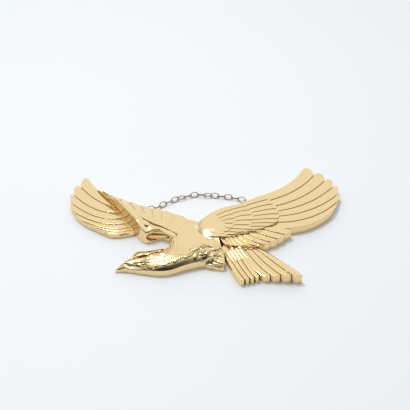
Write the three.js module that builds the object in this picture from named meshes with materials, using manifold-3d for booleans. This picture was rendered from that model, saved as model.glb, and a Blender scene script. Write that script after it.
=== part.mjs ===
// An eagle wall plaque in polished brass, lying on its flat back with its hanging chain laid out behind it.
// Millimetres, +Z out of the wall side. The origin is on the flat back, under the middle of the bird.
import * as THREE from "three";
import Module from "manifold-3d";
import { mergeVertices } from "three/addons/utils/BufferGeometryUtils.js";

// Feather fans. The root, middle and tip lines run across the fan, from its first feather to its last, and
// their points are x, y and the height of the surface. Step is how far one edge of a feather stands over
// the next one, crown how much its middle swells, and round how far the rounded ends of the first and the
// last feather reach past the tip line. Hidden is the share of the length that goes on under what covers
// the roots.
const RIGHT_PRIMARIES = {
  feathers: 6,
  root: [[71, 78, 12.5], [82, 51, 14], [84, 32, 14], [86, 8, 13]],
  middle: [[118, 107, 11], [136, 75, 12], [144, 45, 12.5], [142, 12, 12.5]],
  tip: [[147, 146, 10], [180, 119, 10.5], [196, 84, 11], [186, 44, 12]],
  step: 1.6,
  crown: 0.9,
  round: [10, 8],
  hidden: 0,
};
const RIGHT_SECONDARIES = {
  feathers: 9,
  root: [[77, 14, 15.5], [59, 0, 16], [41, -8, 17.5], [26, -13, 18.5], [12, -15, 19]],
  middle: [[101, 7, 15.5], [76, -11, 15.5], [54, -22, 16], [36, -28, 17], [19, -28, 18]],
  tip: [[120, 1, 15.5], [95, -19, 14.5], [69, -30, 14.5], [46, -34, 16], [27, -33, 17]],
  step: 1.4,
  crown: 0.6,
  round: [3, 4],
  hidden: 0.1,
};
const RIGHT_GREATER_COVERTS = {
  feathers: 11,
  root: [[43, 57, 17], [54, 34, 19], [50, 13, 20], [32, -3, 21], [7, -12, 22]],
  middle: [[65, 71, 15.5], [79, 45, 17], [77, 18, 18], [53, -3, 19], [17, -17, 20]],
  tip: [[81, 80, 14.5], [99, 50, 16], [98, 19, 17], [69, -1, 17.5], [25, -18, 19]],
  step: 1.1,
  crown: 0.7,
  round: [3, 4],
  hidden: 0.1,
};
const RIGHT_LESSER_COVERTS = {
  feathers: 8,
  root: [[18, 46, 19], [31, 29, 22], [33, 12, 23], [20, -3, 23.5], [0, -12, 24]],
  middle: [[35, 53, 18], [47, 37, 20.5], [49, 16, 21.5], [41, -3, 21.5], [17, -14, 22]],
  tip: [[50, 60, 17], [60, 42, 18.5], [62, 18, 19.5], [54, -2, 19.5], [32, -14, 20.5]],
  step: 1,
  crown: 0.7,
  round: [3, 4],
  hidden: 0.05,
};
const RIGHT_SMALL_COVERTS = {
  feathers: 7,
  root: [[2, 28, 22.5], [9, 13, 26.5], [9, 2, 27], [3, -7, 27], [-7, -12, 26]],
  middle: [[15, 41, 21], [22, 24, 24.5], [24, 9, 25.5], [16, -6, 25.5], [3, -15, 25]],
  tip: [[29, 50, 19], [34, 31, 22], [36, 12, 23], [28, -6, 23.5], [12, -17, 23.5]],
  step: 0.8,
  crown: 0.7,
  round: [2, 3],
  hidden: 0,
};
const TAIL_LEFT = {
  feathers: 4,
  root: [[20, -46, 12], [30, -39, 13], [43, -34, 13]],
  middle: [[30, -74, 10.5], [43, -69, 11], [57, -66, 12]],
  tip: [[42, -98, 11], [56, -94, 10.5], [70, -90, 11.5]],
  step: -1.2,
  crown: 0.7,
  round: [2, 2],
  hidden: 0.2,
};
const TAIL_RIGHT = {
  feathers: 4,
  root: [[41, -34, 13], [57, -32, 12.5], [70, -30, 11]],
  middle: [[55, -66, 12], [78, -63, 12], [106, -63, 12]],
  tip: [[72, -90, 11.5], [100, -91, 14.5], [131, -93, 17]],
  step: -1.2,
  crown: 0.8,
  round: [2, 2],
  hidden: 0.2,
};
const LEFT_PRIMARIES = {
  feathers: 7,
  root: [[-150, 65, 12], [-134, 40, 12], [-121, 13, 12], [-111, 0, 11]],
  middle: [[-172, 94, 11], [-173, 45, 10.5], [-157, 14, 9.5], [-123, -1, 9]],
  tip: [[-192, 124, 10], [-211, 78, 9], [-192, 29, 8.5], [-135, -2, 8.5]],
  step: 1.6,
  crown: 0.9,
  round: [8, 2],
  hidden: 0.25,
};
const LEFT_BACK_COVERTS = {
  feathers: 9,
  root: [[-154, 69, 20], [-115, 30, 24], [-89, 20, 25], [-65, 9, 24], [-32, -11, 22]],
  middle: [[-161, 80, 17], [-126, 50, 19], [-93, 35, 20], [-61, 23, 20], [-21, -1, 20]],
  tip: [[-169, 91, 11], [-135, 73, 11.5], [-97, 55, 12], [-57, 39, 13.5], [-10, 11, 15]],
  step: -1,
  crown: 0.8,
  round: [2, 2],
  hidden: 0.35,
};
const LEFT_FRONT_COVERTS = {
  feathers: 8,
  root: [[-165, 87, 16], [-128, 41, 27], [-100, 2, 30.5], [-76, -3, 26], [-48, -13, 18]],
  middle: [[-163, 85, 16.5], [-121, 37, 26.5], [-94, 8, 29], [-69, 0, 26.5], [-38, -11, 21]],
  tip: [[-160, 82, 17], [-115, 33, 25], [-88, 16, 26.5], [-62, 4, 25.5], [-29, -8, 22]],
  step: -1,
  crown: 0.7,
  round: [2, 2],
  hidden: 0.15,
};

// The front of the left wing's arm: a wall that rises from the foot line to the ridge, hollowed at half its
// height by the third line, with a low lip along its foot. The fourth line lies behind the ridge.
const ARM = {
  foot: [
    [-174, 94, 8], [-153, 69, 8], [-126, 28, 8], [-102, -7, 3.5],
    [-86, -11, 3.5], [-73, -5, 3.5], [-55, -13, 3.5],
  ],
  ridge: [
    [-174, 94, 12.5], [-149, 65, 22], [-119, 21, 30], [-103, -10, 33],
    [-88, -11, 29], [-73, -8, 22], [-56, -16, 14],
  ],
  hollow: [[0, 0, 0], [1.5, 1, 0], [2.5, 1.5, 0], [0, 0, 0], [0, 5, 0], [0, 5, 0], [0, 1, 0]],
  back: [
    [-170, 93, 12.5], [-143, 63, 21.5], [-111, 22, 28.5], [-97, 0, 31],
    [-85, -3, 29], [-71, -2, 24], [-51, -11, 17],
  ],
  lip: 2,
};

// Smooth forms, as rows of x, y and height. The rows cross the form and follow each other from the beak's
// side towards the tail.
const BODY = [
  [[-136, -70, 4], [-134, -68, 6], [-132, -66, 7], [-132, -64, 6.5]],
  [[-114, -73, 8], [-112, -71, 13], [-109, -63, 15.5], [-114, -54, 10]],
  [[-86, -79, 10], [-87, -78, 18], [-83, -67, 24], [-87, -40, 12]],
  [[-57, -78, 10.5], [-59, -74, 20], [-57, -64, 26], [-65, -38, 12]],
  [[-32, -69, 13], [-35, -60, 21], [-38, -46, 26], [-53, -21, 15]],
  [[-7, -63, 13], [-10, -51, 21], [-7, -33, 26], [-24, 11, 17]],
  [[20, -62, 12], [17, -50, 16], [22, -35, 18], [10, -9, 23]],
];
const CREST = [
  [[-115, -56, 12], [-113, -60, 13.5]],
  [[-96, -44, 15], [-94, -53, 19.5]],
  [[-69, -35, 14], [-68, -43, 17]],
];
const LOCKS = { count: 7, height: 1.1, first: 0.3 };
const SHOULDER = [
  [[-16, 17, 13], [-16, 2, 17], [-16, -11, 19], [-9, -25, 20]],
  [[-7, 20, 22], [-6, 3, 26], [-5, -11, 26.5], [0, -23, 24]],
  [[5, 34, 22], [13, 16, 26], [13, -5, 27], [10, -20, 23]],
  [[24, 50, 18], [36, 30, 21], [37, 7, 22], [23, -19, 22]],
];
const FOOT = [
  [[-4, -64, 9], [-5, -60, 13], [-5, -54, 18], [-5, -44, 20]],
  [[7, -66, 9.5], [7, -62, 14], [7, -54, 18], [7, -45, 18]],
  [[22, -63, 9], [22, -58, 12], [22, -50, 14], [22, -42, 14]],
];
const TOES = [
  { from: [-2, -59, 10], to: [8, -66, 7], radius: 3.5 },
  { from: [4, -57, 13], to: [14, -66, 8], radius: 3.5 },
  { from: [11, -55, 13], to: [19, -64, 8], radius: 3.5 },
];

// The hanging chain: the way its middle line takes, from the loop cast on the left wing to the one on the
// right wing, and how far each link is rolled from lying flat, in degrees.
const CHAIN_WAY = [
  [-101, 58], [-81, 64.5], [-62, 77.5], [-42, 87.5], [-22, 93.5],
  [-3, 92.5], [17, 90], [39, 85.5], [55, 79], [66, 69],
];
const CHAIN_HEIGHT = 3.4;
const ROLLS = [45, -45, 45, -45, 45, 0, -45, 45, -45, 0, 45, -45, 45, -45, 45, -45];
const LOOP_ROLLS = [-45, 45];
const WIRE = 1.5;
const LINK_WIDTH = 9.2;
const SLACK = 0.3;

// The casting is cut off flat at the wall.
const UNDER = 4;
const WIDE = 600;
const HIGH = 60;

const BRASS = { color: 0xd9b45c, metalness: 1, roughness: 0.22 };
const COPPER = { color: 0xa87a55, metalness: 1, roughness: 0.4 };

const wasm = await Module();
wasm.setup();

// A smooth curve through evenly spaced points, read at t from 0 to 1
function through(points, t) {
  const curve = new THREE.CatmullRomCurve3(points.map((p) => new THREE.Vector3(...p)), false, "catmullrom");
  return curve.getPoint(t);
}

// A closed mesh as a solid for joining and cutting
function solidOf(geometry) {
  const bare = geometry.clone();
  bare.deleteAttribute("normal");
  bare.deleteAttribute("uv");
  const merged = mergeVertices(bare, 1e-3);
  const mesh = new wasm.Mesh({
    numProp: 3,
    vertProperties: merged.attributes.position.array,
    triVerts: new Uint32Array(merged.index.array),
  });
  return new wasm.Manifold(mesh);
}

// The solid between a grid of surface points and a level below the wall plane
function solidUnder(grid) {
  const rows = grid.length;
  const columns = grid[0].length;
  const top = grid.flat();
  const bottom = top.map((p) => new THREE.Vector3(p.x, p.y, -UNDER));
  const at = (row, column) => row * columns + column;
  const low = (corner) => corner + top.length;
  const quads = [];
  for (let row = 1; row < rows; row += 1) {
    for (let column = 1; column < columns; column += 1) {
      const corners = [at(row - 1, column - 1), at(row, column - 1), at(row, column), at(row - 1, column)];
      quads.push(corners, corners.map(low).reverse());
    }
  }
  const rim = [];
  for (let row = 0; row < rows - 1; row += 1) rim.push(at(row, 0));
  for (let column = 0; column < columns - 1; column += 1) rim.push(at(rows - 1, column));
  for (let row = rows - 1; row > 0; row -= 1) rim.push(at(row, columns - 1));
  for (let column = columns - 1; column > 0; column -= 1) rim.push(at(0, column));
  rim.forEach((corner, i) => {
    const next = rim[(i + 1) % rim.length];
    quads.push([next, corner, low(corner), low(next)]);
  });
  const area = rim.reduce((sum, corner, i) => {
    const [a, b] = [top[corner], top[rim[(i + 1) % rim.length]]];
    return sum + a.x * b.y - b.x * a.y;
  }, 0);
  const faces = quads.flatMap(([a, b, c, d]) => (area > 0 ? [a, b, c, a, c, d] : [a, c, b, a, d, c]));
  const geometry = new THREE.BufferGeometry().setFromPoints([...top, ...bottom]);
  geometry.setIndex(faces);
  return solidOf(geometry);
}

// A fan of overlapping feathers, with a few columns to each feather
function fan({ feathers, root, middle, tip, step, crown, round, hidden }, rows) {
  const across = step > 0 ? [0, 0.3, 0.65, 0.93] : [0.07, 0.35, 0.7, 1];
  const columns = step > 0 ? [] : [[0, 0]];
  for (let feather = 0; feather < feathers; feather += 1) {
    across.forEach((w) => columns.push([feather, w]));
  }
  if (step > 0) columns.push([feathers - 1, 1]);
  return Array.from({ length: rows + 1 }, (_, row) =>
    columns.map(([feather, w]) => {
      const v = (feather + w) / feathers;
      const [start, half, end] = [root, middle, tip].map((line) => through(line, v));
      const past = THREE.MathUtils.lerp(...round, v) * (1 - Math.abs(2 * w ** 0.8 - 1) ** 2.4);
      const u = THREE.MathUtils.lerp(-hidden, 1 + past / start.distanceTo(end), row / rows);
      const lap = step > 0 ? step * w : -step * (1 - w);
      const point = start.multiplyScalar((1 - u) * (1 - 2 * u));
      point.addScaledVector(half, 4 * u * (1 - u)).addScaledVector(end, u * (2 * u - 1));
      point.z += crown * (1 - (2 * w - 1) ** 2) + lap;
      return point;
    }),
  );
}

// A smooth surface through rows of control points, raised by what lift(u, v) gives
function quilt(control, rows, columns, lift = () => 0) {
  return Array.from({ length: rows + 1 }, (_, row) =>
    Array.from({ length: columns + 1 }, (__, column) => {
      const [u, v] = [row / rows, column / columns];
      const point = through(control.map((line) => through(line, v).toArray()), u);
      point.z += lift(u, v);
      return point;
    }),
  );
}

// Locks of feathers that run along the neck and breast in waves
function locks(u, v) {
  const { count, height, first } = LOCKS;
  const wave = 0.25 * Math.sin(u * 30);
  const place = ((v - first) / (1 - first)) * count + wave;
  const rise = THREE.MathUtils.smoothstep(v, first, first + 0.1) * THREE.MathUtils.smoothstep(u, 0.1, 0.3);
  return height * rise * (0.5 + 0.5 * Math.cos(2 * Math.PI * place));
}

// A ball stretched to the radii, turned about the vertical and set at a point
function pebble([x, y, z], radii, turn = 0) {
  const ball = new THREE.SphereGeometry(1, 12, 8).scale(...radii).rotateZ(turn).translate(x, y, z);
  return solidOf(ball);
}

function toe({ from, to, radius }) {
  const [a, b] = [new THREE.Vector3(...from), new THREE.Vector3(...to)];
  const length = a.distanceTo(b) / 2 + radius;
  const middle = a.clone().add(b).multiplyScalar(0.5);
  return pebble(middle.toArray(), [length, radius, radius], Math.atan2(b.y - a.y, b.x - a.x));
}

// The wall of the left arm, row by row from its lip over the ridge
function armGrid(columns) {
  const rows = Array.from({ length: columns + 1 }, (_, column) => {
    const [foot, ridge, hollow, back] = [ARM.foot, ARM.ridge, ARM.hollow, ARM.back].map((line) =>
      through(line, column / columns),
    );
    const inward = back.clone().sub(ridge).setZ(0).setLength(ARM.lip);
    const start = foot.clone().add(inward);
    const wall = [0, 0.25, 0.5, 0.75].map((t) =>
      start.clone().lerp(ridge, t).addScaledVector(hollow, Math.sin(Math.PI * t)),
    );
    return [foot, ...wall, ridge, back];
  });
  return rows[0].map((_, i) => rows.map((row) => row[i]));
}

// Where each link of the chain lies, with the cast loops as the first and the last
function linkFrames() {
  const way = new THREE.CatmullRomCurve3(CHAIN_WAY.map(([x, y]) => new THREE.Vector3(x, y, CHAIN_HEIGHT)));
  const rolls = [LOOP_ROLLS[0], ...ROLLS, LOOP_ROLLS[1]];
  const pitch = way.getLength() / (rolls.length - 1);
  return rolls.map((roll, i) => {
    const along = way.getTangentAt(i / (rolls.length - 1));
    const level = new THREE.Vector3(-along.y, along.x, 0);
    const side = level.applyAxisAngle(along, THREE.MathUtils.degToRad(roll));
    const frame = new THREE.Matrix4().makeBasis(along, side, along.clone().cross(side));
    return { pitch, frame: frame.setPosition(way.getPointAt(i / (rolls.length - 1))) };
  });
}

// One oval link: a ring pulled apart by the length of its straight sides
function link({ pitch, frame }) {
  const bend = (LINK_WIDTH - WIRE) / 2;
  const ring = new THREE.TorusGeometry(bend, WIRE / 2, 6, 12).rotateZ(Math.PI / 12);
  const stretch = (pitch + WIRE + SLACK) / 2 - bend;
  const place = ring.attributes.position;
  for (let i = 0; i < place.count; i += 1) {
    place.setX(i, place.getX(i) + Math.sign(place.getX(i)) * stretch);
  }
  return solidOf(ring.applyMatrix4(frame));
}

function casting(loops) {
  const grids = [
    fan(RIGHT_PRIMARIES, 7),
    fan(RIGHT_SECONDARIES, 4),
    fan(RIGHT_GREATER_COVERTS, 3),
    fan(RIGHT_LESSER_COVERTS, 3),
    fan(RIGHT_SMALL_COVERTS, 3),
    fan(TAIL_LEFT, 5),
    fan(TAIL_RIGHT, 5),
    fan(LEFT_PRIMARIES, 6),
    fan(LEFT_BACK_COVERTS, 3),
    fan(LEFT_FRONT_COVERTS, 3),
    armGrid(18),
    quilt(BODY, 26, 20, locks),
    quilt(CREST, 5, 1),
    quilt(SHOULDER, 8, 8),
    quilt(FOOT, 4, 5),
  ];
  const solids = [...grids.map(solidUnder), ...TOES.map(toe), ...loops];
  const bird = solids.reduce((all, one) => all.add(one));
  const front = new THREE.BoxGeometry(WIDE, WIDE, HIGH).translate(0, 0, HIGH / 2);
  return bird.intersect(solidOf(front));
}

function named(name, solid, look) {
  const mesh = solid.getMesh();
  const geometry = new THREE.BufferGeometry();
  geometry.setAttribute("position", new THREE.BufferAttribute(mesh.vertProperties, 3));
  geometry.setIndex(new THREE.BufferAttribute(mesh.triVerts, 1));
  const part = new THREE.Mesh(geometry, new THREE.MeshStandardMaterial(look));
  part.name = name;
  return part;
}

const links = linkFrames();
const loops = [links.shift(), links.pop()].map(link);

const plaque = new THREE.Group();
plaque.add(named("eagle_casting", casting(loops), BRASS));
links.forEach((one, i) => {
  plaque.add(named(`chain_link_${String(i + 1).padStart(2, "0")}`, link(one), COPPER));
});

export default plaque;
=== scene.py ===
"""An eagle wall plaque: a cast brass relief of a flying eagle, with a light chain to hang it by.

Sizes are in millimetres in the frame of the CAD part, with +X towards the wing tip on the tail's side, +Y
towards the chain and +Z out of the wall side. Each mesh is scaled to metres when it is made.
"""

import math

import bpy
import numpy as np
from mathutils import Matrix, Vector


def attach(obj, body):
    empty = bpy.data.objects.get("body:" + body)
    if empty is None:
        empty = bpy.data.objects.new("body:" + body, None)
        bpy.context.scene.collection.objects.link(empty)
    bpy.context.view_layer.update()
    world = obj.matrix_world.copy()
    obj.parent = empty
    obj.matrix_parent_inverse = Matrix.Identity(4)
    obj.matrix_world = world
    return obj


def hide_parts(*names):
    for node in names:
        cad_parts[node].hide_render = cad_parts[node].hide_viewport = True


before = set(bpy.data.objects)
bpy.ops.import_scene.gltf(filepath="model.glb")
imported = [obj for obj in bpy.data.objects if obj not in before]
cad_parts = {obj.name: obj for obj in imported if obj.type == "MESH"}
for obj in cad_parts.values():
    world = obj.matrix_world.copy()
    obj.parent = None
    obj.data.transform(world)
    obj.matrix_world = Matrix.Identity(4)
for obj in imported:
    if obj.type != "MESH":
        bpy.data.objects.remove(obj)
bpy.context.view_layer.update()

MM = 0.001

# Feather fans. The root, middle and tip lines run across the fan, from its first feather to its last. Step
# is how far one edge of a feather stands over the next one, crown how much its middle swells, round how far
# the ends of the first and the last feather reach past the tip line, and hidden the share of the length
# that goes on under what covers the roots.
RIGHT_PRIMARIES = dict(
    feathers=6,
    root=[(71, 78, 12.5), (82, 51, 14), (84, 32, 14), (86, 8, 13)],
    middle=[(118, 107, 11), (136, 75, 12), (144, 45, 12.5), (142, 12, 12.5)],
    tip=[(147, 145, 10), (180, 118, 10.5), (195, 83, 11), (185, 44, 12)],
    step=1, crown=0.7, round=(10, 8), hidden=0, outer=0.8,
)
RIGHT_SECONDARIES = dict(
    feathers=9,
    root=[(77, 14, 15.5), (59, 0, 16), (41, -8, 17.5), (26, -13, 18.5), (12, -15, 19)],
    middle=[(101, 7, 15.5), (76, -11, 15.5), (54, -22, 16), (36, -28, 17), (19, -28, 18)],
    tip=[(120, 1, 15.5), (95, -19, 14.5), (69, -30, 14.5), (46, -34, 16), (27, -33, 17)],
    step=0.9, crown=0.5, round=(3, 4), hidden=0.1, notch=2.5,
)
RIGHT_GREATER_COVERTS = dict(
    feathers=11,
    root=[(43, 57, 17), (54, 34, 19), (50, 13, 20), (32, -3, 21), (7, -12, 22)],
    middle=[(65, 71, 15.5), (79, 45, 17), (77, 18, 18), (53, -3, 19), (17, -17, 20)],
    tip=[(81, 80, 14.5), (99, 50, 16), (98, 19, 17), (69, -1, 17.5), (25, -18, 19)],
    step=0.7, crown=0.5, round=(3, 4), hidden=0.1,
)
RIGHT_LESSER_COVERTS = dict(
    feathers=8,
    root=[(18, 46, 19), (31, 29, 22), (33, 12, 23), (20, -3, 23.5), (0, -12, 24)],
    middle=[(35, 53, 18), (47, 37, 20.5), (49, 16, 21.5), (41, -3, 21.5), (17, -14, 22)],
    tip=[(50, 60, 17), (60, 42, 18.5), (62, 18, 19.5), (54, -2, 19.5), (32, -14, 20.5)],
    step=0.6, crown=0.5, round=(3, 4), hidden=0.05,
)
RIGHT_SMALL_COVERTS = dict(
    feathers=7,
    root=[(2, 28, 22.5), (9, 13, 26.5), (9, 2, 27), (3, -7, 27), (-7, -12, 26)],
    middle=[(15, 41, 21), (22, 24, 24.5), (24, 9, 25.5), (16, -6, 25.5), (3, -15, 25)],
    tip=[(29, 50, 19), (34, 31, 22), (36, 12, 23), (28, -6, 23.5), (12, -17, 23.5)],
    step=0.5, crown=0.5, round=(2, 3), hidden=0,
)
TAIL_LEFT = dict(
    feathers=4,
    root=[(20, -46, 12), (30, -39, 13), (43, -34, 13)],
    middle=[(30, -74, 10.5), (43, -69, 11), (57, -66, 12)],
    tip=[(42, -97.5, 11), (56, -94, 10.5), (70, -90, 11.5)],
    step=-0.9, crown=0.7, round=(2, 2), hidden=0.2, notch=3,
)
TAIL_RIGHT = dict(
    feathers=4,
    root=[(41, -34, 13), (57, -32, 12.5), (70, -30, 11)],
    middle=[(55, -66, 12), (78, -63, 12), (106, -63, 12)],
    tip=[(72, -90, 11.5), (100, -91, 14.5), (131, -93, 17)],
    step=-0.9, crown=0.8, round=(2, 2), hidden=0.2, notch=3.5,
)
LEFT_PRIMARIES = dict(
    feathers=7,
    root=[(-150, 66, 10), (-134, 42, 9.5), (-121, 17, 9), (-112, 5, 8.5)],
    middle=[(-172, 94, 10), (-171, 46, 9.5), (-154, 14, 9), (-131, -0.5, 8.5)],
    tip=[(-191, 122.5, 10), (-210, 78, 9), (-195, 32, 8.5), (-149, -0.5, 8.5)],
    step=0.9, crown=0.7, round=(8, 2), hidden=0.25, outer=0.6,
)
LEFT_BACK_COVERTS = dict(
    feathers=9,
    root=[(-156, 72, 20.5), (-117, 32, 26), (-88, 18, 24.5), (-64, 10, 20), (-34, -9, 16.5)],
    middle=[(-161, 80, 17), (-126, 50, 20), (-93, 37, 19), (-61, 25, 17), (-21, -1, 15.5)],
    tip=[(-169, 91, 11), (-135, 73, 11.5), (-97, 55, 12), (-57, 39, 13.5), (-10, 11, 15)],
    step=-0.7, crown=0.6, round=(2, 2), hidden=0.35,
)
LEFT_FRONT_COVERTS = dict(
    feathers=8,
    root=[(-165, 87, 16), (-128, 41, 27.5), (-100, 6, 28), (-77, 0, 22.5), (-50, -13, 16)],
    middle=[(-163, 85, 16.5), (-122, 38, 27.5), (-95, 14, 27), (-73, 7, 21.5), (-47, -7, 17)],
    tip=[(-160, 82, 17), (-117, 36, 27), (-90, 21, 25.5), (-68, 13.5, 20.5), (-42, -3, 17.5)],
    step=-0.6, crown=0.5, round=(2, 2), hidden=0.15,
)
TAIL_COVERTS = dict(
    feathers=5,
    root=[(22, -44, 15.5), (33, -38, 16), (45, -33, 16)],
    middle=[(27, -52, 13.5), (38, -46, 14.2), (50, -42, 14.2)],
    tip=[(31, -60, 12.2), (43, -55, 12.8), (56, -51, 12.8)],
    step=-0.6, crown=0.5, round=(3, 3), hidden=0, notch=0,
)

# The front of the left wing's arm: a wall that rises from the foot line to the ridge. The back line lies
# behind the ridge. Bend is how far from the ridge the wall starts to turn over.
ARM_FOOT = [
    (-175, 95.5, 9), (-162, 79.5, 8.5), (-150.5, 66.5, 8.5), (-138.5, 50, 8.5), (-128, 32, 8.5),
    (-118.5, 15.5, 8.5), (-109.5, 1, 4), (-103, -7, 3), (-94.5, -12.5, 3), (-85.5, -10.5, 3),
    (-74, -5.5, 3), (-64, -6.5, 3), (-56, -14, 3.5),
]
ARM_RIDGE = [
    (-174.5, 94.5, 12.5), (-160.5, 78.5, 18), (-148, 64.5, 22), (-136.5, 48.5, 26), (-126.5, 32.5, 29),
    (-117, 17.5, 31), (-109, 6, 31.5), (-103, -4, 27.5), (-94.5, -11, 22), (-86, -8, 23.5),
    (-76, -4.5, 22), (-65.5, -7, 19), (-56.5, -15.5, 14.5),
]
ARM_BACK = [
    (-170, 93, 12.5), (-154, 77, 18.5), (-141, 63, 23), (-129, 47.5, 26.5), (-119, 33, 29),
    (-109.5, 20, 30.5), (-102, 11, 30.5), (-98, 3, 28), (-94, -3, 25.5), (-85.5, 0, 25),
    (-75, 2, 23), (-63.5, -1, 20), (-51, -10, 16.5),
]
ARM_BEND = 2.5

# Hollows in the front of the left wing: an egg that is cut out, with its middle, radii, turn in degrees and
# the share by which it narrows towards +X
POCKETS = [
    dict(middle=(-76.5, -8, 12), radii=(18.5, 9, 8), turn=0, taper=0.3),
    dict(middle=(-123.5, -0.5, 6.5), radii=(12, 3.5, 3), turn=-8, taper=0),
    dict(middle=(-156.5, 1.5, 6.5), radii=(7, 3, 3), turn=-25, taper=0),
]

# Smooth forms, as rows of x, y and height. The rows cross the form and follow each other from the beak's
# side towards the tail.
BODY = [
    [(-136, -72, 3), (-135, -71.5, 5), (-133.5, -70.5, 6.5), (-132, -69, 7.5),
     (-131, -67, 7), (-131, -64, 5)],
    [(-123, -71.5, 8), (-123, -70.5, 9), (-123, -68.5, 10.5), (-122, -66, 12),
     (-121.5, -63, 12.5), (-121, -57.5, 10)],
    [(-108.5, -74, 8), (-108.5, -73, 9), (-109, -69.5, 10.5), (-109, -66.5, 13.5),
     (-109.5, -61, 14.5), (-112, -54, 12)],
    [(-90, -77.5, 9), (-90, -77, 10.5), (-90, -75, 13), (-90, -69, 16),
     (-90, -60.5, 17.5), (-91, -47.5, 14)],
    [(-71.5, -80, 10), (-71.5, -79, 12.4), (-71.5, -75.5, 16.8),
     (-71.5, -67, 18), (-72, -56.5, 18.5), (-72.5, -41.5, 14.5)],
    [(-56, -78, 10.3), (-56, -77, 12.7), (-56, -71.5, 19), (-56, -62.5, 20.5),
     (-57.5, -51, 20.5), (-61, -35.5, 15)],
    [(-40, -72, 12.5), (-39.5, -71, 14.8), (-39, -64.5, 21.5),
     (-39, -53.5, 22.5), (-43.5, -36, 21.5), (-53, -15.5, 16)],
    [(-21.5, -65.5, 13.3), (-21, -64.5, 15.5), (-20.5, -57.5, 21.5),
     (-20.5, -46.5, 23), (-23.5, -27, 22), (-32.5, 6, 17)],
    [(-3, -62, 11), (-3, -61.5, 13.5), (-2.5, -56.5, 18.5), (-1.5, -46.5, 21),
     (-3, -29, 22), (-10.5, -1.5, 20)],
    [(17, -64, 10), (17, -62, 12), (17, -56, 15), (17, -48, 17.5), (15.5, -36.5, 19), (11.5, -19.5, 21)],
]
CREST = [
    [(-112, -48.5, 11), (-111, -55.5, 14)],
    [(-104.5, -42.5, 13), (-103, -52.5, 17.5)],
    [(-88.5, -41, 13.5), (-88, -50.5, 18.5)],
    [(-67.5, -37.5, 15), (-68, -44, 18)],
]
SHOULDER = [
    [(-20, 17, 13), (-20, 3, 17), (-21, -9, 18.5), (-16, -24, 19)],
    [(-9, 21, 22), (-9, 5, 25.5), (-10, -8, 25.5), (-5, -21, 23)],
    [(5, 34, 22), (13, 16, 26), (13, -5, 27), (10, -20, 23)],
    [(24, 50, 18), (36, 30, 21), (37, 7, 22), (23, -19, 22)],
]
FOOT = [
    [(-6.5, -64, 8), (-6.5, -62, 12), (-6.5, -58, 16), (-7.5, -50, 18.5)],
    [(7, -67, 7), (7, -64.5, 11.5), (7, -59, 16), (5.5, -48, 18.5)],
    [(19.5, -70, 6.5), (20.5, -64.5, 10.5), (20.5, -56.5, 14.5), (18.5, -44.5, 17)],
]
TOES = [
    dict(start=(4, -58.5, 13.5), end=(20, -64.5, 8.5), radius=3),
    dict(start=(-0.5, -61.5, 12), end=(14.5, -66, 7.5), radius=2.6),
    dict(start=(-3, -63.5, 9), end=(4.5, -65.5, 7), radius=2.2),
]

# The hanging chain, from the loop cast on the left wing to the one on the right wing
CHAIN_WAY = [
    (-101, 58), (-81, 64.5), (-62, 77.5), (-42, 87.5), (-22, 93.5),
    (-3, 92.5), (17, 90), (39, 85.5), (55, 79), (66, 69),
]
CHAIN_HEIGHT = 3.5
ROLLS = [45, -45, 45, -45, 45, 0, -45, 45, -45, 0, 45, -45, 45, -45, 45, -45]
LOOP_ROLLS = [-45, 45]
WIRE = 1.5
LINK_WIDTH = 9.2
SLACK = 0.3

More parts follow.
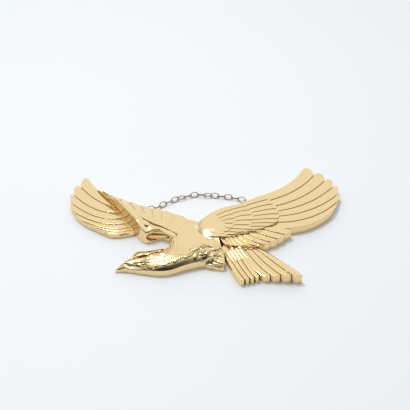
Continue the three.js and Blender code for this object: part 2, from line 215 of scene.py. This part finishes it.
# Grooves below 0 and ribs above it, as height, half width and the line they follow from above: the beak,
# the brow and the locks of the head, the folds over the leg, and the gaps between the rows of the right wing
GROOVES = [
    (-0.9, 0.8, [(-128.5, -66.5), (-123.5, -65.5), (-117.5, -66.5), (-115, -69.5)]),
    (-1.3, 1.5, [(-121, -67), (-117, -68)]),
    (-0.7, 0.7, [(-134, -69.5), (-131, -69), (-129, -67), (-125.5, -67.5)]),
    (-0.6, 0.6, [(-124.5, -71), (-119, -71.5), (-114.5, -73.5)]),
    (-1.3, 0.9, [(-109, -66.5), (-103, -66.5), (-97.5, -66), (-93, -67)]),
    (-1.2, 0.8, [(-97, -70), (-92, -70), (-90.5, -74), (-88.5, -76.5), (-82.5, -77), (-75.5, -76)]),
    (1, 1.2, [(-104.5, -68.5), (-100, -70.5)]),
    (-0.8, 0.8, [(-90, -68), (-81.5, -68.5), (-74.5, -68), (-66, -67)]),
    (-0.6, 0.8, [(-80.5, -62.5), (-70.5, -60.5), (-60.5, -57.5)]),
    (-1.2, 0.9, [(-109.5, -60), (-106.5, -55.5), (-101, -52.5), (-91, -50), (-79.5, -46.5), (-72.5, -42.5)]),
    (-0.8, 0.7, [(-115, -62), (-112.5, -57.5), (-111.5, -52.5)]),
    (-0.5, 0.8, [(-113, -65.5), (-109, -63), (-102, -61.5), (-92, -62)]),
    (-0.6, 0.8, [(-72, -54), (-63.5, -51.5), (-58, -46)]),
    (-2.2, 1.3, [(-24, -53), (-19.5, -49), (-14.5, -47)]),
    (-1.4, 1, [(-29, -48.5), (-24.5, -47.5)]),
    (-1.8, 1.1, [(-18, -56.5), (-15.5, -53), (-12.5, -50)]),
    (-1.5, 0.9, [(-14, -45.5), (-12, -40.5), (-7.5, -37.5)]),
    (-2.2, 1.4, [(-11, -45), (-6, -41.5), (-2.5, -40.5), (2, -42.5)]),
    (-1.6, 1.2, [(-1, -53), (2.5, -49.5), (8.5, -46)]),
    (-1.5, 1.1, [(11.5, -46), (15.5, -42)]),
    (-1.2, 0.9, [(19, -43), (22.5, -48.5), (24, -52)]),
    (1.4, 2, [(-21.5, -61), (-20.5, -58.5)]),
    (1.6, 2.2, [(-11, -53), (-9, -50.5)]),
    (1.2, 1.8, [(-5.5, -55), (-4.5, -52.5)]),
    (1.2, 1.8, [(-15.5, -63), (-14.5, -60.5)]),
    (-1.8, 1.6, [(-10.5, -61), (-4, -58.5), (-1, -54.5)]),
    (1.5, 2.2, [(3.5, -58.5), (6, -54.5)]),
    (-1.6, 0.9, [(10, -59), (11.5, -57.5)]),
    (1.4, 2, [(17, -52), (21, -55.5)]),
    (-1.2, 0.9, [(-10, -63.5), (-9.5, -68)]),
    (-2, 1.1, [(58, -4.5), (64.5, -4.5), (73.5, -3)]),
    (-1.7, 1, [(44, -9.5), (50, -9), (56.5, -7)]),
    (-1.3, 1, [(33, -16), (39.5, -14)]),
    (-0.7, 0.7, [(64, 15.5), (80.5, 16.5), (98, 16.5)]),
    (-1.5, 1.1, [(27.5, -33.5), (33, -38), (39, -36.5)]),
    (-1.4, 1, [(40.5, -36), (46, -37.5), (53, -35.5)]),
    (-1.2, 1, [(55, -35), (61, -35), (68, -31)]),
    (-0.7, 1, [(103, -84.5), (113, -83), (122.5, -85)]),
]

# Casting details: the radius of a rim, the plan width of the wall between two feathers, the depth and width
# of the crease at its foot, and how deep the solids reach below the wall plane before they are cut flat
EDGE = 0.25
TIP_EDGE = 0.5
WALL = 0.25
CREASE = 0.2
CREASE_WIDTH = 0.45
NOTCH_WIDTH = 0.9
CELL = 1.5
UNDER = 4
WIDE = 600
HIGH = 60
SHARP_ANGLE = math.radians(38)


def through(points, t):
    """A smooth curve through evenly spaced points, read at each t from 0 to 1"""
    p = np.asarray(points, float)
    place = np.atleast_1d(t) * (len(p) - 1)
    i = np.clip(np.floor(place).astype(int), 0, len(p) - 2)
    w = (place - i).reshape(-1, *[1] * (p.ndim - 1))
    ends = np.concatenate([[2 * p[0] - p[1]], p, [2 * p[-1] - p[-2]]])
    before, start, end, after = ends[i], ends[i + 1], ends[i + 2], ends[i + 3]
    leave, arrive = (end - before) / 2, (after - start) / 2
    square = 3 * (end - start) - 2 * leave - arrive
    cube = 2 * (start - end) + leave + arrive
    return start + w * leave + w**2 * square + w**3 * cube


def smoothstep(low, high, x):
    t = np.clip((x - low) / (high - low), 0, 1)
    return t * t * (3 - 2 * t)


def rounding(distance, radius):
    """How far a rounded rim has dropped at a distance from its edge"""
    inside = np.clip(1 - distance / radius, 0, 1)
    return radius * (1 - np.sqrt(1 - inside**2))


RIM_PLACES = np.array([1.6, 1, 0.6, 0.25, 0.05, 0])


def feather_columns(width, edge):
    """Places across one feather, from its low edge at 0 to its raised edge"""
    low = np.array([0, 0.2, 0.45, 0.8, 1.3]) / width
    high = 1 - (WALL + edge * RIM_PLACES) / width
    middle = np.linspace(low[-1], high[0], 8)[1:-1]
    return np.concatenate([low, middle, high])


def feather_widths(points, feathers):
    """How wide each feather is along a line across the fan"""
    return np.linalg.norm(np.diff(through(points, np.arange(feathers + 1) / feathers), axis=0), axis=1)


def fan(feathers, root, middle, tip, step, crown, round, hidden, outer=EDGE, notch=0, melt=0.15):
    """The surface of a fan of overlapping feathers, as a grid of points"""
    widths = [feather_widths(points, feathers) for points in (root, middle, tip)]
    width = widths[1].mean()
    w, feather, edge = [], [], []
    for i in range(feathers):
        rim = outer if i == (feathers - 1 if step > 0 else 0) else EDGE
        one = feather_columns(width, rim)
        w.extend(one if step > 0 else 1 - one[::-1])
        feather.extend([i] * len(one))
        edge.extend([rim] * len(one))
    w, feather, edge = np.array(w), np.array(feather), np.array(edge)
    v = (feather + w) / feathers
    start, half, end = (through(points, v) for points in (root, middle, tip))
    length = np.linalg.norm(end - start, axis=1)
    from_low = (w if step > 0 else 1 - w) * width
    cut = np.exp(-((from_low / NOTCH_WIDTH) ** 2)) + np.exp(-(((width - from_low) / NOTCH_WIDTH) ** 2))
    lead = w**0.65 if step > 0 else w**0.8
    past = (round[0] + (round[1] - round[0]) * v) * (1 - np.abs(2 * lead - 1) ** 2.4) - notch * cut
    reach = 1 + past / length
    mean = length.mean() * (1 + hidden)
    rim = 1 - TIP_EDGE * RIM_PLACES / mean
    rows = np.concatenate([np.linspace(0, rim[0], max(8, int(mean / CELL)))[:-1], rim])
    u = -hidden + (reach + hidden) * rows[:, None]
    shares = ((1 - u) * (1 - 2 * u), 4 * u * (1 - u), u * (2 * u - 1))
    grid = sum(share[..., None] * line for share, line in zip(shares, (start, half, end)))
    local = sum(share * line[feather] for share, line in zip(shares, widths))
    narrow = np.clip(local / width, 0.1, 1)
    first = 0 if step > 0 else feathers - 1
    crease = np.where(
        feather == first, rounding(from_low, EDGE), CREASE * np.exp(-((from_low / CREASE_WIDTH) ** 2))
    )
    profile = crown * (1 - (2 * w - 1) ** 2) + abs(step) * from_low / width
    profile -= crease + rounding(width - WALL - from_low, edge)
    fade = smoothstep(-hidden - 0.01, melt, u)
    grid[..., 2] += profile * narrow * fade - rounding((1 - rows[:, None]) * mean, TIP_EDGE)
    return grid


def quilt(control, rows, columns, lift=None):
    """A smooth surface through rows of control points, raised by what lift(u, v) gives"""
    u = np.linspace(0, 1, rows + 1)
    v = np.linspace(0, 1, columns + 1)
    grid = through(np.array([through(line, v) for line in control]), u)
    if lift:
        grid[..., 2] += lift(u[:, None], v[None, :])
    return grid


def arm_grid(columns, steps):
    """The wall of the left arm, row by row from its foot over the ridge"""
    t = np.linspace(0, 1, columns + 1)
    foot, ridge, back = (through(line, t) for line in (ARM_FOOT, ARM_RIDGE, ARM_BACK))
    down, over = foot - ridge, back - ridge
    below = ridge + down * np.minimum(1, ARM_BEND / np.linalg.norm(down, axis=1))[:, None]
    behind = ridge + over * np.minimum(1, ARM_BEND / np.linalg.norm(over, axis=1))[:, None]
    wall = [foot + (below - foot) * s for s in np.linspace(0, 1, steps + 1)[:-1]]
    bend = [below * (1 - s) ** 2 + 2 * ridge * s * (1 - s) + behind * s**2 for s in np.linspace(0, 1, 9)]
    return np.array([*wall, *bend, back])


def away_from(x, y, line):
    """How far each point lies from a line, seen from above"""
    nearest = np.full(x.shape, np.inf)
    for (ax, ay), (bx, by) in zip(line, line[1:]):
        dx, dy = bx - ax, by - ay
        t = np.clip(((x - ax) * dx + (y - ay) * dy) / (dx * dx + dy * dy), 0, 1)
        nearest = np.minimum(nearest, np.hypot(x - ax - t * dx, y - ay - t * dy))
    return nearest


def carve(grid):
    """Cuts the grooves and raises the ribs on a grid of surface points"""
    for height, width, line in GROOVES:
        smooth = through(line, np.linspace(0, 1, 8 * len(line)))
        grid[..., 2] += height * np.exp(-((away_from(grid[..., 0], grid[..., 1], smooth) / width) ** 2))
    return grid


def egg(middle, radii, turn, taper, around=64, rings=32):
    """A ball stretched to the radii, narrower towards +X by the taper, then turned about the vertical"""
    a = np.linspace(0, math.pi, rings + 1)[1:-1, None]
    b = np.arange(around) * 2 * math.pi / around
    thick = np.sin(a) * (1 - taper * np.cos(a))
    ball = np.stack([np.cos(a) + 0 * b, thick * np.cos(b), thick * np.sin(b)], -1).reshape(-1, 3)
    points = np.concatenate([ball, [(1, 0, 0), (-1, 0, 0)]]) * radii
    number = np.arange((rings - 1) * around).reshape(rings - 1, around)
    after = np.roll(number, -1, 1)
    faces = np.stack([number[:-1], number[1:], after[1:], after[:-1]], -1).reshape(-1, 4).tolist()
    last = len(ball)
    faces += [(last, p, q) for p, q in zip(number[0], after[0])]
    faces += [(last + 1, q, p) for p, q in zip(number[-1], after[-1])]
    thing = new_object("egg", points, faces)
    thing.data.transform(Matrix.Translation(middle) @ Matrix.Rotation(math.radians(turn), 4, "Z"))
    return thing


def new_object(name, points, faces):
    mesh = bpy.data.meshes.new(name)
    mesh.from_pydata([tuple(p) for p in points], [], [tuple(f) for f in faces])
    thing = bpy.data.objects.new(name, mesh)
    bpy.context.scene.collection.objects.link(thing)
    return thing


def solid_under(grid, name="part"):
    """The solid between a grid of surface points and a level below the wall plane"""
    rows, columns = grid.shape[:2]
    top = grid.reshape(-1, 3)
    bottom = np.column_stack([top[:, :2], np.full(len(top), -UNDER)])
    number = np.arange(rows * columns).reshape(rows, columns)
    a, b, c, d = number[:-1, :-1], number[1:, :-1], number[1:, 1:], number[:-1, 1:]
    cells = np.stack([a, b, c, d], -1).reshape(-1, 4)
    rim = np.concatenate([number[:-1, 0], number[-1, :-1], number[:0:-1, -1], number[0, :0:-1]])
    follow = np.roll(rim, -1)
    low = len(top)
    walls = np.stack([follow, rim, rim + low, follow + low], -1)
    faces = np.concatenate([cells, cells[:, ::-1] + low, walls])
    x, y = top[rim, 0], top[rim, 1]
    if np.sum(x * np.roll(y, -1) - np.roll(x, -1) * y) < 0:
        faces = faces[:, ::-1]
    return new_object(name, np.concatenate([top, bottom]), faces)


def ring(length, width, thickness, around=48, tube=12):
    """A long oval ring of round wire, with its outer length and width"""
    a = np.arange(around) * 2 * math.pi / around
    b = np.arange(tube) * 2 * math.pi / tube
    half = np.array([length / 2 - thickness, width / 2 - thickness])
    middle = np.column_stack([np.cos(a), np.sin(a)]) * half
    outward = np.column_stack([np.cos(a), np.sin(a)]) * half[::-1]
    outward /= np.linalg.norm(outward, axis=1, keepdims=True)
    flat = middle[:, None] + outward[:, None] * thickness * np.cos(b)[None, :, None]
    points = np.concatenate([flat, np.tile(thickness * np.sin(b), (around, 1))[..., None]], -1)
    number = np.arange(around * tube).reshape(around, tube)
    after = np.roll(number, -1, 0)
    faces = np.stack([number, after, np.roll(after, -1, 1), np.roll(number, -1, 1)], -1)
    return points.reshape(-1, 3), faces.reshape(-1, 4)


def link_frames():
    """Where each link of the chain lies, with the cast loops as the first and the last"""
    way = [(x, y, CHAIN_HEIGHT) for x, y in CHAIN_WAY]
    t = np.linspace(0, 1, 2001)
    points = through(way, t)
    run = np.concatenate([[0], np.cumsum(np.linalg.norm(np.diff(points, axis=0), axis=1))])
    rolls = [LOOP_ROLLS[0], *ROLLS, LOOP_ROLLS[1]]
    pitch = run[-1] / (len(rolls) - 1)
    frames = []
    for i, roll in enumerate(rolls):
        at = np.interp(i * pitch, run, t)
        ahead = through(way, min(at + 1e-4, 1)) - through(way, max(at - 1e-4, 0))
        along = Vector(ahead[0]).normalized()
        side = Matrix.Rotation(math.radians(roll), 3, along) @ Vector((-along.y, along.x, 0))
        turn = Matrix((along, side, along.cross(side))).transposed().to_4x4()
        frames.append(Matrix.Translation(Vector(through(way, at)[0])) @ turn)
    return pitch, frames


def link(name, pitch, place):
    thing = new_object(name, *ring(pitch + 2 * WIRE + SLACK, LINK_WIDTH, WIRE / 2))
    thing.data.transform(place)
    return thing


def toe(start, end, radius):
    a, b = Vector(start), Vector(end)
    level = math.degrees(math.atan2(b.y - a.y, b.x - a.x))
    return egg((a + b) / 2, ((b - a).length / 2 + radius, radius, radius), level, 0)


def combine(first, others, operation):
    """Joins or cuts closed solids one after another, and deletes the tools"""
    for other in others:
        cut = first.modifiers.new("cut", "BOOLEAN")
        cut.operation = operation
        cut.solver = "MANIFOLD"
        cut.object = other
        bpy.context.view_layer.objects.active = first
        bpy.ops.object.modifier_apply(modifier=cut.name)
        bpy.data.objects.remove(other)
    return first


def box(low, high):
    corners = [(x, y, z) for z in (low[2], high[2]) for y in (low[1], high[1]) for x in (low[0], high[0])]
    faces = [(0, 2, 3, 1), (4, 5, 7, 6), (0, 1, 5, 4), (2, 6, 7, 3), (0, 4, 6, 2), (1, 3, 7, 5)]
    return new_object("box", corners, faces)


# Body feathers: the strands follow the neck and then turn across the breast. Each has scales one after
# another, with a groove beside them.
STRANDS = 18
SCALES = 18
SCALE_HEIGHT = 0.55
GROOVE_DEPTH = 0.5
GROOVE_SHARE = 0.15
BELLY_EDGE = 0.4
BELLY_STEP = 1.0


def plumage(u, v):
    """Feathers on the neck and the breast, above the smooth belly"""
    past = np.maximum(u - 0.42, 0)
    slant = 1.3 * past**2 / (past + 0.12)
    wave = 0.3 * np.sin(23 * u + 5 * v) + 0.22 * np.sin(41 * u - 9 * v + 1.3) + 0.12 * np.sin(67 * u + 31 * v)
    across = STRANDS * (v - slant) + wave
    row = np.floor(across)
    beside = across - row
    uneven = np.sin(row * 12.9898) * 0.4
    along = SCALES * u + 0.5 * np.mod(row, 2) + uneven - 0.3 * (2 * beside - 1) ** 2
    along = along - np.floor(along)
    scale = SCALE_HEIGHT * (along - smoothstep(0.9, 1, along))
    groove = GROOVE_DEPTH * np.exp(-((np.minimum(beside, 1 - beside) / GROOVE_SHARE) ** 2))
    edge = BELLY_EDGE + 0.02 * np.sin(60 * u) + 0.012 * np.sin(131 * u + 2)
    on_breast = smoothstep(edge, edge + 0.05, v)
    belly = BELLY_STEP * smoothstep(0.28, 0.4, u) * smoothstep(edge - 0.015, edge + 0.015, v)
    neck = np.where(np.mod(row, 2) > 0, smoothstep(0.4, 0.55, u), 1)
    return belly + on_breast * smoothstep(0.22, 0.34, u) * (scale * smoothstep(0.4, 0.6, u) - groove * neck)


def casting(loops):
    fans = [
        RIGHT_PRIMARIES, RIGHT_SECONDARIES, RIGHT_GREATER_COVERTS, RIGHT_LESSER_COVERTS, RIGHT_SMALL_COVERTS,
        TAIL_LEFT, TAIL_RIGHT, TAIL_COVERTS, LEFT_PRIMARIES, LEFT_BACK_COVERTS, LEFT_FRONT_COVERTS,
    ]
    grids = [
        *(fan(**one) for one in fans),
        arm_grid(160, 10),
        quilt(BODY, 250, 150, plumage),
        quilt(CREST, 60, 8),
        quilt(SHOULDER, 50, 50),
        quilt(FOOT, 50, 50),
    ]
    solids = [solid_under(carve(grid)) for grid in grids]
    whole = combine(solids[0], [*solids[1:], *(toe(**one) for one in TOES), *loops], "UNION")
    whole = combine(whole, [egg(**one) for one in POCKETS], "DIFFERENCE")
    front = box((-WIDE / 2, -WIDE / 2, 0), (WIDE / 2, WIDE / 2, HIGH))
    whole = combine(whole, [front], "INTERSECT")
    whole.name = "eagle"
    return whole


def finish_piece(piece, node, material):
    """Scales a piece to metres, smooths it and sets it in place of its CAD node"""
    piece.data.transform(Matrix.Scale(MM, 4))
    piece.data.materials.clear()
    piece.data.materials.append(material)
    piece.data.shade_smooth()
    piece.data.set_sharp_from_angle(angle=SHARP_ANGLE)
    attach(piece, "root")
    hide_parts(node)


# Materials
def shader(name, color, roughness, metallic):
    material = bpy.data.materials.new(name)
    material.use_nodes = True
    main = material.node_tree.nodes["Principled BSDF"]
    main.inputs["Base Color"].default_value = (*color, 1)
    main.inputs["Roughness"].default_value = roughness
    main.inputs["Metallic"].default_value = metallic
    return material, main


def node(material, kind, **values):
    made = material.node_tree.nodes.new(kind)
    for key, value in values.items():
        if hasattr(made, key):
            setattr(made, key, value)
        else:
            made.inputs[key.replace("_", " ")].default_value = value
    return made


def brass():
    material, main = shader("polished_brass", (0.92, 0.69, 0.375), 0.15, 1)
    links = material.node_tree.links
    place = node(material, "ShaderNodeTexCoord")
    noise = node(material, "ShaderNodeTexNoise", Scale=260.0, Detail=3.0)
    links.new(place.outputs["Object"], noise.inputs["Vector"])
    bump = node(material, "ShaderNodeBump", Strength=0.05, Distance=0.0004)
    links.new(noise.outputs["Fac"], bump.inputs["Height"])
    links.new(bump.outputs["Normal"], main.inputs["Normal"])
    # Painted shade: the ambient occlusion node finds nearby grooves and hollows, and there the base colour is
    # mixed towards dark brown in place of the shade that falls in them
    shade = node(material, "ShaderNodeAmbientOcclusion", samples=8, only_local=True, Distance=0.0025)
    painted_groove_shade = node(material, "ShaderNodeMapRange", From_Min=0.35, From_Max=0.85)
    links.new(shade.outputs["AO"], painted_groove_shade.inputs["Value"])
    mix = node(material, "ShaderNodeMix", data_type="RGBA")
    # The dark brown of the painted shade in grooves and hollows, then the plain brass colour
    mix.inputs[6].default_value = (0.5, 0.31, 0.1, 1)
    mix.inputs[7].default_value = (0.92, 0.69, 0.375, 1)
    links.new(painted_groove_shade.outputs["Result"], mix.inputs["Factor"])
    links.new(mix.outputs[2], main.inputs["Base Color"])
    return material


def copper():
    material, main = shader("chain_copper", (0.44, 0.31, 0.21), 0.35, 1)
    links = material.node_tree.links
    place = node(material, "ShaderNodeTexCoord")
    noise = node(material, "ShaderNodeTexNoise", Scale=900.0, Detail=2.0)
    links.new(place.outputs["Object"], noise.inputs["Vector"])
    rough = node(material, "ShaderNodeMapRange", To_Min=0.3, To_Max=0.5)
    links.new(noise.outputs["Fac"], rough.inputs["Value"])
    links.new(rough.outputs["Result"], main.inputs["Roughness"])
    return material


# Pieces
pitch, frames = link_frames()
loops = [link("loop", pitch, frames[0]), link("loop", pitch, frames[-1])]
eagle = casting(loops)
finish_piece(eagle, "eagle_casting", brass())
chain_look = copper()
for i, place in enumerate(frames[1:-1], 1):
    one = link(f"link_{i:02d}", pitch, place)
    finish_piece(one, f"chain_link_{i:02d}", chain_look)

# The table it lies on
FLOOR = 12
corners = [(-FLOOR, -FLOOR, 0), (FLOOR, -FLOOR, 0), (FLOOR, FLOOR, 0), (-FLOOR, FLOOR, 0)]
floor = new_object("floor", corners, [(0, 1, 2, 3)])
floor_look, floor_main = shader("table", (0.885, 0.892, 0.91), 0.6, 0)
floor.data.materials.append(floor_look)

# Light: a pale room that is bright above and behind the object, dimmer to the sides and dim in front, and
# one soft lamp overhead
ROOM_FRONT = -0.85
ROOM_BACK = 0.2
ROOM_DIM = 0.03
ROOM_SIDES = 0.55
ROOM = bpy.data.worlds.new("room")
bpy.context.scene.world = ROOM
ROOM.use_nodes = True
sky = ROOM.node_tree
where = sky.nodes.new("ShaderNodeTexCoord")
split = sky.nodes.new("ShaderNodeSeparateXYZ")
tilt = sky.nodes.new("ShaderNodeMath")
tilt.operation = "MULTIPLY_ADD"
tilt.inputs[1].default_value = 0.35
sideways = sky.nodes.new("ShaderNodeMath")
sideways.operation = "ABSOLUTE"
product = sky.nodes.new("ShaderNodeMath")
product.operation = "MULTIPLY"


def ramp(from_min, from_max, to_min, to_max):
    made = sky.nodes.new("ShaderNodeMapRange")
    made.interpolation_type = "SMOOTHSTEP"
    for key, value in zip(("From Min", "From Max", "To Min", "To Max"), (from_min, from_max, to_min, to_max)):
        made.inputs[key].default_value = value
    return made


bright = ramp(ROOM_FRONT, ROOM_BACK, ROOM_DIM, 1)
sides = ramp(0.35, 0.85, 1, ROOM_SIDES)
sky.links.new(where.outputs["Generated"], split.inputs[0])
sky.links.new(split.outputs["Z"], tilt.inputs[0])
sky.links.new(split.outputs["Y"], tilt.inputs[2])
sky.links.new(split.outputs["X"], sideways.inputs[0])
sky.links.new(tilt.outputs[0], bright.inputs["Value"])
sky.links.new(sideways.outputs[0], sides.inputs["Value"])
sky.links.new(bright.outputs["Result"], product.inputs[0])
sky.links.new(sides.outputs["Result"], product.inputs[1])
sky.links.new(product.outputs[0], sky.nodes["Background"].inputs["Strength"])
sky.nodes["Background"].inputs["Color"].default_value = (0.93, 0.98, 1.0, 1)


def lamp(name, place, size, power, target=(0, 0, 0)):
    light = bpy.data.lights.new(name, "AREA")
    light.size = size
    light.energy = power
    thing = bpy.data.objects.new(name, light)
    bpy.context.scene.collection.objects.link(thing)
    thing.location = place
    thing.rotation_euler = (Vector(target) - Vector(place)).to_track_quat("-Z", "Y").to_euler()


lamp("top_lamp", (-0.4, 0.45, 1.9), 0.5, 14)

# The camera stands in front, looking down on the plaque
CAMERA_TARGET = Vector((-0.007443, 0.073415, 0))
CAMERA_ELEVATION = math.radians(42)
CAMERA_DISTANCE = 1.5
SENSOR = 36
FOCAL_PIXELS = 971
IMAGE_PIXELS = 410
camera = bpy.data.cameras.new("camera")
camera.sensor_width = SENSOR
camera.lens = SENSOR * FOCAL_PIXELS / IMAGE_PIXELS
view = bpy.data.objects.new("camera", camera)
bpy.context.scene.collection.objects.link(view)
look = Vector((0, math.cos(CAMERA_ELEVATION), -math.sin(CAMERA_ELEVATION)))
view.location = CAMERA_TARGET - look * CAMERA_DISTANCE
view.rotation_euler = look.to_track_quat("-Z", "Y").to_euler()
bpy.context.scene.camera = view
bpy.context.scene.view_settings.view_transform = "Standard"
